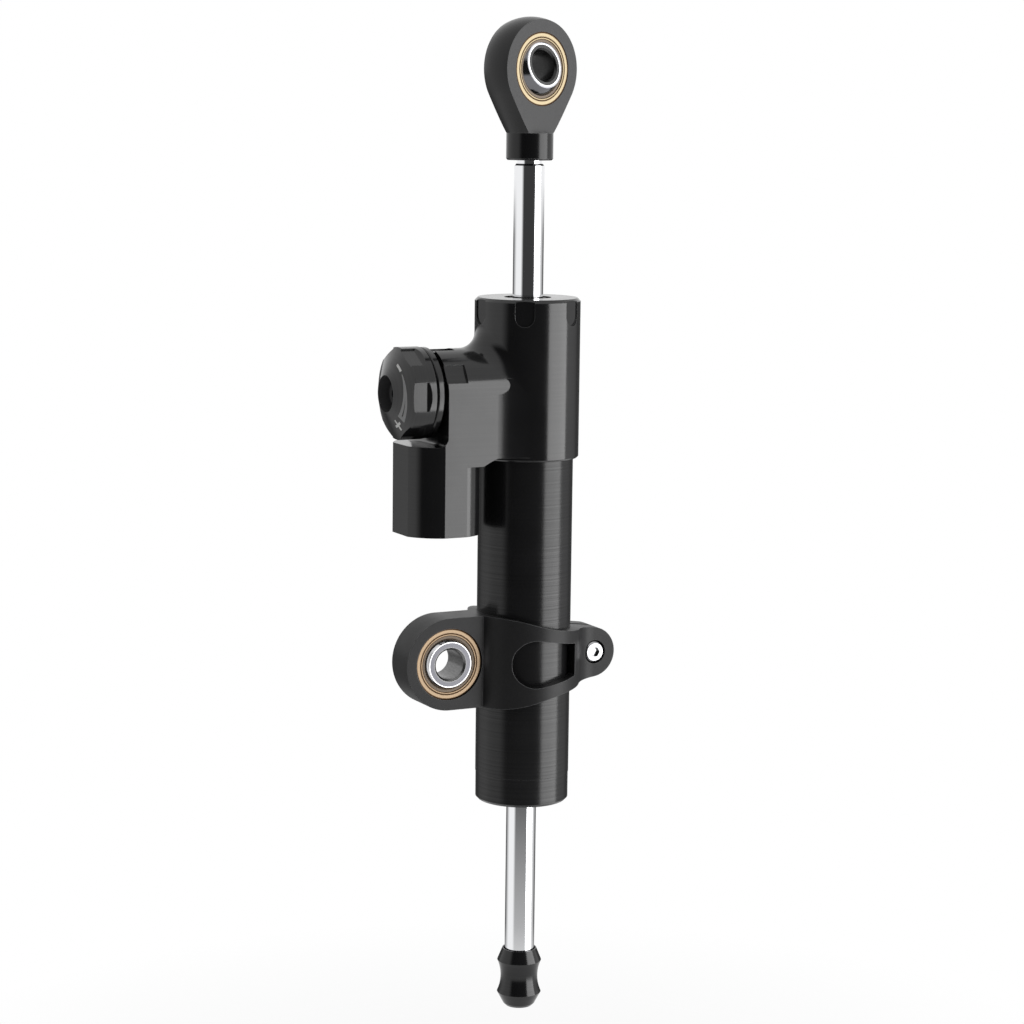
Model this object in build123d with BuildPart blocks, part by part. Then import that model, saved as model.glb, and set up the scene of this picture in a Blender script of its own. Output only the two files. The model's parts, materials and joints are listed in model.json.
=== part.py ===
"""Adjustable motorcycle steering damper, in millimetres.

A through rod carries a piston inside twin tubes. The head on top holds the needle valve, its
knob and the reservoir. A clamp with a spherical bearing ties the tube to the frame, and a rod end
with the same bearing ties the rod to the fork. +Z runs up along the rod, the knob and the clamp's
eye point to -X, and the origin is the centre of the clamp's bearing.
"""

import os
from math import acos, atan2, cos, hypot, radians, sin, sqrt

from build123d import *

os.makedirs("parts", exist_ok=True)

# Fits shared by every piece
running_gap = 0.03  # radial gap of a piece that turns or slides in another
face_gap = 0.05  # axial gap beside a piece that turns
seal_nip = 0.01  # what a static seal ring stays short of its groove
overrun = 4.0  # how far a cutter passes the metal that it cuts
groove_share = 1.3  # width of a seal ring's groove, as a share of the ring's cord
wire_sides = 4  # a spring's wire is drawn with this many sides

# Rod, its travel and its ends
rod_r = 4.0
rod_edge = 0.5
upper_rod_show = 35.6  # bare rod above the head at rest
lower_rod_show = 41.9  # bare rod below the tube at rest
stop_gap = 1.3  # bare rod left when the piston reaches a gland
thread_r = 3.0
thread_length = 9.0
rod_neck_r = 3.3
rod_neck_length = 0.9

# Piston and the clips that hold it on the rod
piston_length = 13.7
piston_band_length = 6.0
piston_band_wall = 1.2
clip_thick = 1.2
clip_r = 5.4
clip_seat_r = 3.4
clip_mouth = 2.4

# Twin tubes
tube_r = 12.5
tube_inner_share = 0.84  # inside of the outer tube, as a share of its radius
cylinder_share = 0.76  # outside of the inner cylinder, as a share of the same
bore_share = 0.68  # and its bore
tube_engage = 10.0  # how far the outer tube enters the head
port_r = 1.0
port_rise = 1.6  # from the lower gland's top to the ports' axis
clamp_above_end = 39.1  # from the foot of the body up to the clamp's bearing

# Glands and what they hold around the rod
rod_hole_gap = 0.3
upper_gland_length = 18.8
lower_gland_length = 24.6
lower_cap_height = 7.6
lower_cap_step = 0.1  # how far the cap's wall stands inside the tube's
lower_cap_edge = 0.7
spigot_length = 5.0
wiper_pocket_r = 6.2
wiper_depth = 3.4
wiper_recess = 0.9
lip_r = 4.9
lip_recess = 0.2
pocket_land = 1.6
seal_pocket_r = 6.5
seal_height = 3.0
seal_slot = 0.8
seal_slot_depth = 1.4
bush_r = 5.2
bush_length = 7.5
ring_section = 1.4  # cord of the gland's seal rings
ring_place_share = 0.45  # height of the seal ring, as a share of the gland
spanner_hole_r = 1.25
spanner_hole_depth = 2.5

# Head housing
head_wall = 1.4  # around the outer tube
head_top_wall = 2.9  # around the upper gland
head_length = 42.0
head_top_edge = 0.8
head_foot_edge = 0.4
knob_rise = 17.9  # from the head's foot to the knob's axis
neck_r = 11.25
neck_length = 14.1  # from the barrel's wall to the face behind the knob
head_fillet = 5.5  # where the neck runs into the barrel
web_flare = 24.0  # where the web's sides run into the barrel
web_flare_fade = 4.0  # height over which that flare dies out above the knob's axis
web_flare_lean = 12.0  # degrees
flute_count = 6
flute_width = 5.1
flute_length = 7.0
flute_depth = 0.5
pocket_width = 5.2
pocket_length = 5.65
pocket_depth = 0.7
pocket_step = 60.0
gallery_half = 2.0
divider_height = 2.0
web_arch_rise = 1.2  # web's underside above the head's foot, beside the barrel
web_arch_drop = 0.7  # the same below the head's foot, beside the reservoir

# Reservoir leg and what it holds
leg_inset = 2.3  # from the neck's face back to the leg's axis
leg_r = 11.68
leg_front = 10.7
leg_back = 7.9
leg_length = 36.7  # from the knob's axis down to the leg's foot
shelf_drop = 13.2  # from the knob's axis down to the shelf under the knob
shelf_fillet = 2.5
cavity_r = 7.9
cavity_roof = 2.1
drill_r = 1.25
link_rise = 2.0  # from the outer tube's top to the link that joins the drilling
link_r = 1.0
plug_height = 4.6
plug_socket = 5.0
plug_socket_depth = 2.2
leg_ring_section = 1.0
ring_clip_inset = 0.5
ring_clip_thick = 1.0
ring_clip_bite = 0.5
ring_clip_width = 1.5
ring_clip_mouth = 3.0
compensator_height = 6.0
compensator_ring_share = 0.6  # height of its seal ring, as a share of its height
compensator_recess = 2.0
compensator_recess_r = 6.0
compensator_rise = 3.0  # free oil above the compensator piston
spring_wire = 1.1
spring_turns = 3
spring_r = 5.2

# Needle valve, along the knob's axis
seat_inset = 0.1  # from the barrel's wall to the seat
seat_length = 3.5
valve_r = 3.5
orifice_r = 1.2
seat_mouth_depth = 0.7
feed_r = 1.5
bush_depth = 7.2
bush_outer_r = 4.6
bush_flange_r = 7.0
bush_flange = 1.0
guide_thick = 1.6
needle_hex = 3.0
needle_lift = 1.56  # from the seat's start to the needle's tip
needle_cone = 2.2
needle_tip_r = 0.4
needle_r = 1.35
needle_tail_r = 1.25
needle_tail = 4.6
needle_travel = 0.375  # each way from rest
spindle_r = 2.5
spindle_collar_r = 3.2
spindle_collar = 1.2
spindle_reach = 3.7  # how far it reaches into the knob
spindle_ring_back = 0.9
valve_ring_section = 0.8

# Knob, its detent ring and its screw
knob_r = 12.0
knob_rim = 6.1
knob_cone = 3.35
knob_gap = 0.2  # between the knob and its detent ring, but for the hub
knob_recess_r = 4.8
knob_recess_depth = 4.75
knob_hub_r = 6.0
knob_back_edge = 0.4
grip_count = 6
grip_width = 7.4
grip_floor = 11.0  # from the knob's axis to the floor of a grip
grip_inset = 1.7  # rim left whole behind the grips
grip_ramp = 1.05
detent_ring_r = 11.8
detent_ring_gap = 0.3
detent_ring_thick = 1.8
detent_ring_edge = 0.3
notch_count = 20
notch_place = 9.2
notch_length = 2.4
notch_depth = 0.35
ball_r = 1.25
detent_depth = 6.0
detent_wire = 0.35
detent_spring_r = 0.95
detent_turns = 3
screw_r = 1.5
screw_head_r = 2.75
screw_head = 2.4
screw_length = 8.0
screw_socket = 2.5
screw_socket_depth = 1.4

# Frame clamp
bearing_wall = 2.0  # between the bearing and the outer tube
eye_r = 12.26
eye_half = 4.75
clamp_wall = 2.5
shoulder_inset = 1.0  # from the band's edge to where it starts to narrow
band_half = 9.45  # half of the band's height beside the rod's axis
band_slope = 7.4  # degrees between the band's edge and level, where it meets the ear
ear_aside = 3.3  # from the band's edge to the ear's centre
ear_r = 6.76
ear_half = 4.75
ear_blend = 2.0
eye_blend = 7.5
clamp_screw_aside = 0.8  # from the ear's centre to the screw
slit = 1.6
window_left_inset = 5.8
window_left_half = 7.4
window_left_round = 5.9
window_right_inset = 5.5
window_right_half = 4.3
window_right_round = 3.4
clamp_screw_r = 1.75
clamp_screw_head_r = 2.85
clamp_screw_head = 2.9
clamp_screw_socket = 2.5
clamp_screw_socket_depth = 1.0
clamp_screw_edge = 0.5
clamp_screw_length = 6.5
counterbore_r = 3.2
counterbore_depth = 2.6
clamp_hole_r = 2.0

# Spherical bearings, alike in the clamp and in the rod end
race_r = 9.5
race_half = 4.2
race_sphere_r = 8.6
liner_half = 4.05
liner_wall = 0.6
ball_half = 5.15
mount_bore_r = 4.0
ball_edge = 0.5

# Rod end
rod_end_reach = 23.4  # from its foot to the centre of its bearing
rod_end_neck = 7.0
rod_end_neck_r = 6.15
rod_end_neck_edge = 0.4
rod_end_r = 13.4
rod_end_half = 4.3
rod_end_turn = 17.5  # how far the rod end is turned about the rod
ball_tilt = 11.7  # how far its ball leans, the near end of the bore up

# Bumper on the rod's foot
bumper_length = 16.0
bumper_rim_r = 4.6
bumper_bore_gap = 0.3
bumper_bore_depth = 1.2
bumper_bead_r = 5.95
bumper_waist_r = 5.0
bumper_foot_r = 4.3
bumper_bead_drop = 3.3
bumper_waist_drop = 7.7
bumper_low_bead_drop = 12.2
bumper_foot_rise = 0.7

# Radii and reaches that follow from the outer tube
tube_inner_r = tube_inner_share * tube_r
cylinder_r = cylinder_share * tube_r
bore_r = bore_share * tube_r
head_r = tube_r + head_wall
upper_gland_r = head_r - head_top_wall
lower_cap_r = tube_r - lower_cap_step
spanner_hole_place = (wiper_pocket_r + lower_cap_r) / 2
neck_reach = head_r + neck_length
leg_reach = neck_reach - leg_inset
clamp_reach = tube_r + race_r + bearing_wall
clamp_band_r = tube_r + clamp_wall
ear_reach = clamp_band_r + ear_aside

# Places along the rod
stroke_up = lower_rod_show - stop_gap
stroke_down = upper_rod_show - stop_gap
stack_length = piston_length + 2 * (clip_thick + face_gap)
body_low = -clamp_above_end
lower_gland_high = body_low + lower_gland_length
stack_low = lower_gland_high + stroke_down
stack_high = stack_low + stack_length
upper_gland_low = stack_high + stroke_up
head_high = upper_gland_low + upper_gland_length
head_low = head_high - head_length
knob_z = head_low + knob_rise
rod_end_low = head_high + upper_rod_show
bearing_z = rod_end_low + rod_end_reach
bumper_high = body_low - lower_rod_show
bumper_low = bumper_high - bumper_length
tube_low = body_low + lower_cap_height
tube_high = head_low + tube_engage
cylinder_low = lower_gland_high - spigot_length

# Places along the knob's axis and in the reservoir leg
leg_low = knob_z - leg_length
shelf_z = knob_z - shelf_drop
cavity_high = shelf_z - cavity_roof
ring_clip_low = leg_low + ring_clip_inset
plug_low = ring_clip_low + ring_clip_thick
plug_high = plug_low + plug_height
compensator_high = cavity_high - compensator_rise
compensator_low = compensator_high - compensator_height
cavity_reach = leg_reach + (leg_front - leg_back) / 2
seat_start = head_r + seat_inset
seat_end = seat_start + seat_length
bush_start = neck_reach - bush_depth
bush_end = neck_reach + bush_flange
drill_reach = (seat_end + bush_start) / 2
spindle_start = bush_start + guide_thick + face_gap
bush_step = spindle_start + spindle_collar + face_gap
needle_tip = seat_start + needle_lift
needle_hex_start = bush_start - 2 * needle_travel
needle_hex_end = spindle_start - needle_travel - face_gap
needle_end = needle_hex_end + needle_tail
bush_ring_u = (bush_start + neck_reach) / 2
spindle_ring_u = bush_end - spindle_ring_back
detent_ring_start = bush_end + detent_ring_gap
detent_ring_end = detent_ring_start + detent_ring_thick
knob_back = detent_ring_end + knob_gap
knob_edge = knob_back + knob_rim
knob_nose = knob_edge + knob_cone
grip_start = knob_back + grip_inset
spindle_end = knob_back + spindle_reach
knob_floor = knob_nose - knob_recess_depth
detent_ball_u = detent_ring_start - face_gap - ball_r

# Planes for turned pieces: the first axis is the radius, the second runs along the piece
damper_x = clamp_reach
leg_x = damper_x - leg_reach
rod_plane = Plane(origin=(damper_x, 0, 0), x_dir=(1, 0, 0), z_dir=(0, -1, 0))
cavity_x = damper_x - cavity_reach
cavity_plane = Plane(origin=(cavity_x, 0, 0), x_dir=(1, 0, 0), z_dir=(0, -1, 0))
knob_plane = Plane(origin=(damper_x, 0, knob_z), x_dir=(0, 0, 1), z_dir=(0, -1, 0))

# The bearings' bores: the clamp's runs along Y, the rod end's is turned and its ball leans
face_x, face_y = sin(radians(rod_end_turn)), -cos(radians(rod_end_turn))
lean_out, lean_up = cos(radians(ball_tilt)), sin(radians(ball_tilt))
clamp_bearing_plane = Plane(origin=(0, 0, 0), x_dir=(1, 0, 0), z_dir=(0, 0, -1))
rod_bearing_plane = Plane(
    origin=(damper_x, 0, bearing_z), x_dir=(-face_y, face_x, 0), z_dir=(0, 0, -1)
)
rod_ball_plane = Plane(
    origin=(damper_x, 0, bearing_z),
    x_dir=(-face_y, face_x, 0),
    z_dir=(face_x * lean_up, face_y * lean_up, -lean_out),
)


def axle(plane):
    """The turning axis of a piece whose half section is drawn on this plane."""
    return Axis(plane.origin, plane.y_dir)


def band(inner, outer, start, end, mode=Mode.ADD):
    """Half section of a ring between two radii and two places along its axis."""
    with Locations((inner, min(start, end))):
        Rectangle(outer - inner, abs(end - start), align=(Align.MIN, Align.MIN), mode=mode)


def ring_groove(wall_r, place, section, inward=1):
    """Groove for a seal ring in a wall, cut towards the axis, or away from it with -1."""
    floor_r = wall_r - inward * section
    half_width = section * groove_share / 2
    low_r, high_r = min(floor_r, wall_r), max(floor_r, wall_r)
    band(low_r, high_r, place - half_width, place + half_width, Mode.SUBTRACT)


def seal_ring(plane, wall_r, place, section, nip):
    """A square-cut seal ring that fills its groove's depth but for the nip."""
    half_cord = section / 2 - nip
    with BuildPart() as seal:
        with BuildSketch(plane):
            band(wall_r - section + nip, wall_r - nip, place - half_cord, place + half_cord)
        revolve(axis=axle(plane))
    return seal.part


# Outer tube, between the lower gland's cap and its seat in the head
with BuildPart() as outer_tube:
    with BuildSketch(rod_plane):
        band(tube_inner_r, tube_r, tube_low, tube_high)
    revolve(axis=axle(rod_plane))
outer_tube.part.label = "outer_tube"
export_step(outer_tube.part, "parts/outer_tube.step")

# Inner cylinder that the piston runs in, with ports at both ends
lower_port_z = lower_gland_high + port_rise
with BuildPart() as inner_cylinder:
    with BuildSketch(rod_plane):
        band(bore_r, cylinder_r, cylinder_low, upper_gland_low)
    revolve(axis=axle(rod_plane))
    with Locations((damper_x, 0, lower_port_z), (damper_x, 0, knob_z)):
        Cylinder(port_r, 2 * (cylinder_r + overrun), rotation=(0, 90, 0), mode=Mode.SUBTRACT)
inner_cylinder.part.label = "inner_cylinder"
export_step(inner_cylinder.part, "parts/inner_cylinder.step")


def gland_bore(face, inner_end):
    """Rod hole of a gland, with pockets for wiper, seal and guide bush, from its outer face."""
    inward = 1 if inner_end > face else -1
    seal_start = face + inward * (wiper_depth + pocket_land)
    band(0, rod_r + rod_hole_gap, face, inner_end, Mode.SUBTRACT)
    band(0, wiper_pocket_r, face, face + inward * wiper_depth, Mode.SUBTRACT)
    band(0, seal_pocket_r, seal_start, seal_start + inward * seal_height, Mode.SUBTRACT)
    band(0, bush_r, inner_end - inward * bush_length, inner_end, Mode.SUBTRACT)


# Upper gland, flush with the head's top
upper_ring_z = upper_gland_low + ring_place_share * upper_gland_length
with BuildPart() as upper_gland:
    with BuildSketch(rod_plane):
        band(0, upper_gland_r, upper_gland_low, head_high)
        gland_bore(head_high, upper_gland_low)
        ring_groove(upper_gland_r, upper_ring_z, ring_section)
    revolve(axis=axle(rod_plane))
upper_gland.part.label = "upper_gland"
export_step(upper_gland.part, "parts/upper_gland.step")

# Lower gland: a cap under the outer tube, a plug inside it and a spigot in the inner cylinder
lower_ring_z = tube_low + ring_place_share * (cylinder_low - tube_low)
with BuildPart() as lower_gland:
    with BuildSketch(rod_plane):
        band(0, lower_cap_r, body_low, tube_low)
        band(0, tube_inner_r, tube_low, cylinder_low)
        band(0, bore_r, cylinder_low, lower_gland_high)
        gland_bore(body_low, lower_gland_high)
        ring_groove(tube_inner_r, lower_ring_z, ring_section)
    revolve(axis=axle(rod_plane))
    foot_edges = lower_gland.edges().filter_by(GeomType.CIRCLE).group_by(Axis.Z)[0]
    chamfer(foot_edges.sort_by(SortBy.RADIUS)[-1], lower_cap_edge)
    with Locations((damper_x, 0, body_low)):
        with GridLocations(2 * spanner_hole_place, 0, 2, 1):
            Cylinder(
                spanner_hole_r,
                spanner_hole_depth,
                align=(Align.CENTER, Align.CENTER, Align.MIN),
                mode=Mode.SUBTRACT,
            )
lower_gland.part.label = "lower_gland"
export_step(lower_gland.part, "parts/lower_gland.step")

# Wiper, seal and guide bush around the rod at each end
slide_r = rod_r + running_gap
for end, face, inner_end in (
    ("upper", head_high, upper_gland_low),
    ("lower", body_low, lower_gland_high),
):
    inward = 1 if inner_end > face else -1
    seal_start = face + inward * (wiper_depth + pocket_land)
    seal_end = seal_start + inward * seal_height
    slot_r = (slide_r + seal_pocket_r - seal_slot) / 2
    with BuildPart() as rod_wiper:
        with BuildSketch(rod_plane):
            band(slide_r, wiper_pocket_r, face + inward * wiper_recess, face + inward * wiper_depth)
            band(slide_r, lip_r, face + inward * lip_recess, face + inward * wiper_depth)
        revolve(axis=axle(rod_plane))
    rod_wiper.part.label = end + "_rod_wiper"
    export_step(rod_wiper.part, f"parts/{end}_rod_wiper.step")
    with BuildPart() as rod_seal:
        with BuildSketch(rod_plane):
            band(slide_r, seal_pocket_r, seal_start, seal_end)
            band(slot_r, slot_r + seal_slot, seal_end - inward * seal_slot_depth, seal_end, Mode.SUBTRACT)
        revolve(axis=axle(rod_plane))
    rod_seal.part.label = end + "_rod_seal"
    export_step(rod_seal.part, f"parts/{end}_rod_seal.step")
    with BuildPart() as guide_bush:
        with BuildSketch(rod_plane):
            band(slide_r, bush_r, inner_end - inward * bush_length, inner_end)
        revolve(axis=axle(rod_plane))
    guide_bush.part.label = end + "_guide_bush"
    export_step(guide_bush.part, f"parts/{end}_guide_bush.step")

for name, wall_r, place in (
    ("upper_gland_ring", upper_gland_r, upper_ring_z),
    ("lower_gland_ring", tube_inner_r, lower_ring_z),
):
    gland_ring = seal_ring(rod_plane, wall_r, place, ring_section, seal_nip)
    gland_ring.label = name
    export_step(gland_ring, f"parts/{name}.step")

# Head housing: barrel, neck to the knob, web, and the leg that holds the reservoir
neck_front_x = damper_x - neck_reach


def on_barrel(edge):
    """True for an edge of the joint between the barrel's wall and the neck or web."""
    middle = edge @ 0.5
    on_wall = abs(hypot(middle.X - damper_x, middle.Y) - head_r) < face_gap
    above_arch = head_low + 2 * web_arch_rise < middle.Z
    return on_wall and middle.X < damper_x and above_arch and middle.Z < head_high - face_gap


def rounded_slot(width, length):
    """Slot open at the sketch's origin, running down to a round end."""
    straight = length - width / 2
    with Locations((0, -straight)):
        Circle(width / 2)
        Rectangle(width, straight + overrun, align=(Align.CENTER, Align.MIN))


with BuildPart() as head_housing:
    with BuildSketch(rod_plane):
        band(0, head_r, head_low, head_high)
    revolve(axis=axle(rod_plane))
    with BuildSketch(knob_plane):
        band(0, neck_r, 0, neck_reach)
    revolve(axis=axle(knob_plane))
    with BuildSketch(Plane.XZ):
        with BuildLine():
            arch_start = (leg_x + leg_back, head_low - web_arch_drop)
            arch_top = (damper_x - head_r, head_low + web_arch_rise)
            arch_end = (damper_x, head_low + web_arch_rise)
            web_front = (neck_front_x, head_low - web_arch_drop)
            Polyline(arch_end, (damper_x, knob_z), (neck_front_x, knob_z), web_front, arch_start)
            ThreePointArc(arch_start, arch_top, arch_end)
        make_face()
    extrude(amount=neck_r, both=True)
    fillet(head_housing.edges().filter_by(on_barrel), head_fillet)
    with BuildSketch(Plane.XY.offset(knob_z)) as flare_plan:
        with Locations((damper_x, 0)):
            Circle(head_r)
            Rectangle(leg_reach, 2 * neck_r, align=(Align.MAX, Align.CENTER))
        joints = flare_plan.vertices().filter_by(lambda corner: leg_x < corner.X < damper_x)
        fillet(joints, web_flare)
    extrude(amount=web_flare_fade, taper=web_flare_lean)
    extrude(flare_plan.sketch, amount=head_low + web_arch_rise - knob_z)
    with BuildSketch(Plane.XY.offset(leg_low)):
        with Locations((leg_x, 0)):
            Circle(leg_r)
            with Locations(((leg_back - leg_front) / 2, 0)):
                Rectangle(leg_front + leg_back, 2 * neck_r, mode=Mode.INTERSECT)
    extrude(amount=leg_length)
    # Step in the leg under the knob, its inner corner rounded
    with BuildSketch(Plane.XZ) as shelf_cut:
        with Locations((neck_front_x, shelf_z)):
            Rectangle(leg_r, leg_length, align=(Align.MAX, Align.MIN))
        shelf_corner = shelf_cut.vertices().sort_by_distance((neck_front_x, 0, shelf_z))[0]
        fillet(shelf_corner, shelf_fillet)
    extrude(amount=leg_r, both=True, mode=Mode.SUBTRACT)
    barrel_rims = head_housing.edges().filter_by(GeomType.CIRCLE).filter_by(
        lambda edge: abs(edge.radius - head_r) < face_gap
    )
    chamfer(barrel_rims.group_by(Axis.Z)[-1], head_top_edge)
    chamfer(barrel_rims.group_by(Axis.Z)[0], head_foot_edge)
    # Spanner flutes around the top rim
    for step in range(flute_count):
        turn = radians(180 + step * 360 / flute_count)
        flute_floor = head_r - flute_depth
        flute_plane = Plane(
            origin=(damper_x + flute_floor * cos(turn), flute_floor * sin(turn), head_high),
            x_dir=(-sin(turn), cos(turn), 0),
            z_dir=(cos(turn), sin(turn), 0),
        )
        with BuildSketch(flute_plane):
            rounded_slot(flute_width, flute_length)
        extrude(amount=overrun, mode=Mode.SUBTRACT)
    # Shallow pockets over the neck's front edge
    for step in (-1, 0, 1):
        turn = radians(step * pocket_step)
        pocket_floor = neck_r - pocket_depth
        pocket_plane = Plane(
            origin=(neck_front_x, pocket_floor * sin(turn), knob_z + pocket_floor * cos(turn)),
            x_dir=(0, cos(turn), -sin(turn)),
            z_dir=(0, sin(turn), cos(turn)),
        )
        with BuildSketch(pocket_plane):
            Rectangle(pocket_width, 2 * pocket_length)
        extrude(amount=overrun, mode=Mode.SUBTRACT)
    # Bores for the tubes, the oil gallery around the cylinder's ports, and the upper gland
    gallery_low = knob_z - gallery_half
    with BuildSketch(rod_plane):
        band(0, tube_r, head_low - overrun, tube_high)
        band(0, tube_inner_r, tube_high, gallery_low - divider_height)
        band(0, cylinder_r, gallery_low - divider_height, upper_gland_low)
        band(0, tube_inner_r, gallery_low, knob_z + gallery_half)
        band(0, upper_gland_r, upper_gland_low, head_high + overrun)
    revolve(axis=axle(rod_plane), mode=Mode.SUBTRACT)
    # Valve bore, and the socket for the knob's detent
    with BuildSketch(knob_plane):
        band(0, feed_r, cylinder_r, seat_start)
        band(0, valve_r, seat_start, bush_start)
        band(0, bush_outer_r, bush_start, neck_reach + overrun)
    revolve(axis=axle(knob_plane), mode=Mode.SUBTRACT)
    with Locations(Location((neck_front_x, 0, knob_z - notch_place), (0, 90, 0))):
        Cylinder(
            ball_r + running_gap,
            detent_depth,
            align=(Align.CENTER, Align.CENTER, Align.MIN),
            mode=Mode.SUBTRACT,
        )
    # Drilling from the valve to the reservoir, its link to the space between the tubes
    with Locations((damper_x - drill_reach, 0, cavity_high)):
        Cylinder(
            drill_r,
            knob_z - cavity_high,
            align=(Align.CENTER, Align.CENTER, Align.MIN),
            mode=Mode.SUBTRACT,
        )
    with Locations(Location((damper_x - drill_reach, 0, tube_high + link_rise), (0, 90, 0))):
        Cylinder(
            link_r,
            drill_reach - cylinder_r,
            align=(Align.CENTER, Align.CENTER, Align.MIN),
            mode=Mode.SUBTRACT,
        )
    # Reservoir, open at the leg's foot, with the groove for its ring clip
    with BuildSketch(cavity_plane):
        band(0, cavity_r, leg_low - overrun, cavity_high)
        band(0, cavity_r + ring_clip_bite, ring_clip_low, plug_low)
    revolve(axis=axle(cavity_plane), mode=Mode.SUBTRACT)
head_housing.part.label = "head_housing"
export_step(head_housing.part, "parts/head_housing.step")

# Reservoir plug with a hexagon socket, its seal ring and the ring clip that holds it
plug_ring_z = (plug_low + plug_high) / 2
with BuildPart() as reservoir_plug:
    with BuildSketch(cavity_plane):
        band(0, cavity_r, plug_low, plug_high)
        ring_groove(cavity_r, plug_ring_z, leg_ring_section)
    revolve(axis=axle(cavity_plane))
    with BuildSketch(Plane.XY.offset(plug_low)):
        with Locations((cavity_x, 0)):
            RegularPolygon(plug_socket / 2, 6, major_radius=False)
    extrude(amount=plug_socket_depth, mode=Mode.SUBTRACT)
reservoir_plug.part.label = "reservoir_plug"
export_step(reservoir_plug.part, "parts/reservoir_plug.step")

plug_ring = seal_ring(cavity_plane, cavity_r, plug_ring_z, leg_ring_section, seal_nip)
plug_ring.label = "reservoir_plug_ring"
export_step(plug_ring, "parts/reservoir_plug_ring.step")

with BuildPart() as reservoir_clip:
    with BuildSketch(Plane.XY.offset(ring_clip_low)):
        with Locations((cavity_x, 0)):
            Circle(cavity_r + ring_clip_bite - seal_nip)
            Circle(cavity_r - ring_clip_width, mode=Mode.SUBTRACT)
            Rectangle(
                2 * cavity_r,
                ring_clip_mouth,
                align=(Align.MIN, Align.CENTER),
                mode=Mode.SUBTRACT,
            )
    extrude(amount=ring_clip_thick)
reservoir_clip.part.label = "reservoir_clip"
export_step(reservoir_clip.part, "parts/reservoir_clip.step")

# Compensator piston with its seal ring, and the spring under it
compensator_r = cavity_r - running_gap
compensator_ring_z = compensator_low + compensator_ring_share * compensator_height
with BuildPart() as compensator_piston:
    with BuildSketch(cavity_plane):
        band(0, compensator_r, compensator_low, compensator_high)
        band(0, compensator_recess_r, compensator_low, compensator_low + compensator_recess, Mode.SUBTRACT)
        ring_groove(compensator_r, compensator_ring_z, leg_ring_section)
    revolve(axis=axle(cavity_plane))
compensator_piston.part.label = "compensator_piston"
export_step(compensator_piston.part, "parts/compensator_piston.step")

compensator_ring = seal_ring(cavity_plane, compensator_r, compensator_ring_z, leg_ring_section, seal_nip)
compensator_ring.label = "compensator_ring"
export_step(compensator_ring, "parts/compensator_ring.step")

spring_low = plug_high + spring_wire / 2 + face_gap
spring_high = compensator_low + compensator_recess - spring_wire / 2 - face_gap
with BuildPart() as compensator_spring:
    with BuildLine(Plane.XY.offset(spring_low)):
        coil = Helix(
            pitch=(spring_high - spring_low) / spring_turns,
            height=spring_high - spring_low,
            radius=spring_r,
            center=(cavity_x, 0, 0),
        )
    with BuildSketch(Plane(origin=coil @ 0, z_dir=coil % 0)):
        RegularPolygon(spring_wire / 2, wire_sides)
    sweep()
compensator_spring.part.label = "compensator_spring"
export_step(compensator_spring.part, "parts/compensator_spring.step")

# Valve seat at the end of the knob's bore
with BuildPart() as valve_seat:
    with BuildSketch(knob_plane):
        band(orifice_r, valve_r, seat_start, seat_end)
    revolve(axis=axle(knob_plane))
    mouth = valve_seat.edges().filter_by(GeomType.CIRCLE).group_by(Axis.X)[0].sort_by(SortBy.RADIUS)[0]
    chamfer(mouth, seat_mouth_depth)
valve_seat.part.label = "valve_seat"
export_step(valve_seat.part, "parts/valve_seat.step")

# Bush that carries the knob's spindle, with its seal ring
spindle_hole_r = spindle_r + running_gap
collar_hole_r = spindle_collar_r + running_gap
with BuildPart() as adjuster_bush:
    with BuildSketch(knob_plane):
        band(0, bush_outer_r, bush_start, neck_reach)
        band(0, bush_flange_r, neck_reach, bush_end)
        band(0, collar_hole_r, bush_start, bush_step, Mode.SUBTRACT)
        band(0, spindle_hole_r, bush_step, bush_end, Mode.SUBTRACT)
        ring_groove(bush_outer_r, bush_ring_u, valve_ring_section)
    revolve(axis=axle(knob_plane))
adjuster_bush.part.label = "adjuster_bush"
export_step(adjuster_bush.part, "parts/adjuster_bush.step")

bush_ring = seal_ring(knob_plane, bush_outer_r, bush_ring_u, valve_ring_section, seal_nip)
bush_ring.label = "adjuster_bush_ring"
export_step(bush_ring, "parts/adjuster_bush_ring.step")


def knob_axis_plane(place):
    """Plane across the knob's axis at this place, facing along it."""
    return Plane(origin=(damper_x - place, 0, knob_z), x_dir=(0, 0, 1), z_dir=(-1, 0, 0))


# Guide with a hexagon hole that keeps the needle from turning
with BuildPart() as needle_guide:
    with BuildSketch(knob_axis_plane(bush_start)):
        Circle(collar_hole_r)
        RegularPolygon(needle_hex / 2 + running_gap, 6, major_radius=False, mode=Mode.SUBTRACT)
    extrude(amount=guide_thick)
needle_guide.part.label = "needle_guide"
export_step(needle_guide.part, "parts/needle_guide.step")

# Needle: tapered tip, hexagon that slides in the guide, screwed tail
with BuildPart() as needle:
    with BuildSketch(knob_plane):
        cone_end = needle_tip + needle_cone
        with BuildLine():
            Polyline(
                (0, needle_tip),
                (needle_tip_r, needle_tip),
                (needle_r, cone_end),
                (needle_r, needle_hex_start),
                (0, needle_hex_start),
                close=True,
            )
        make_face()
        band(0, needle_tail_r, needle_hex_start, needle_end)
    revolve(axis=axle(knob_plane))
    with BuildSketch(knob_axis_plane(needle_hex_start)):
        RegularPolygon(needle_hex / 2, 6, major_radius=False)
    extrude(amount=needle_hex_end - needle_hex_start)
needle.part.label = "needle"
export_step(needle.part, "parts/needle.step")

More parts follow.
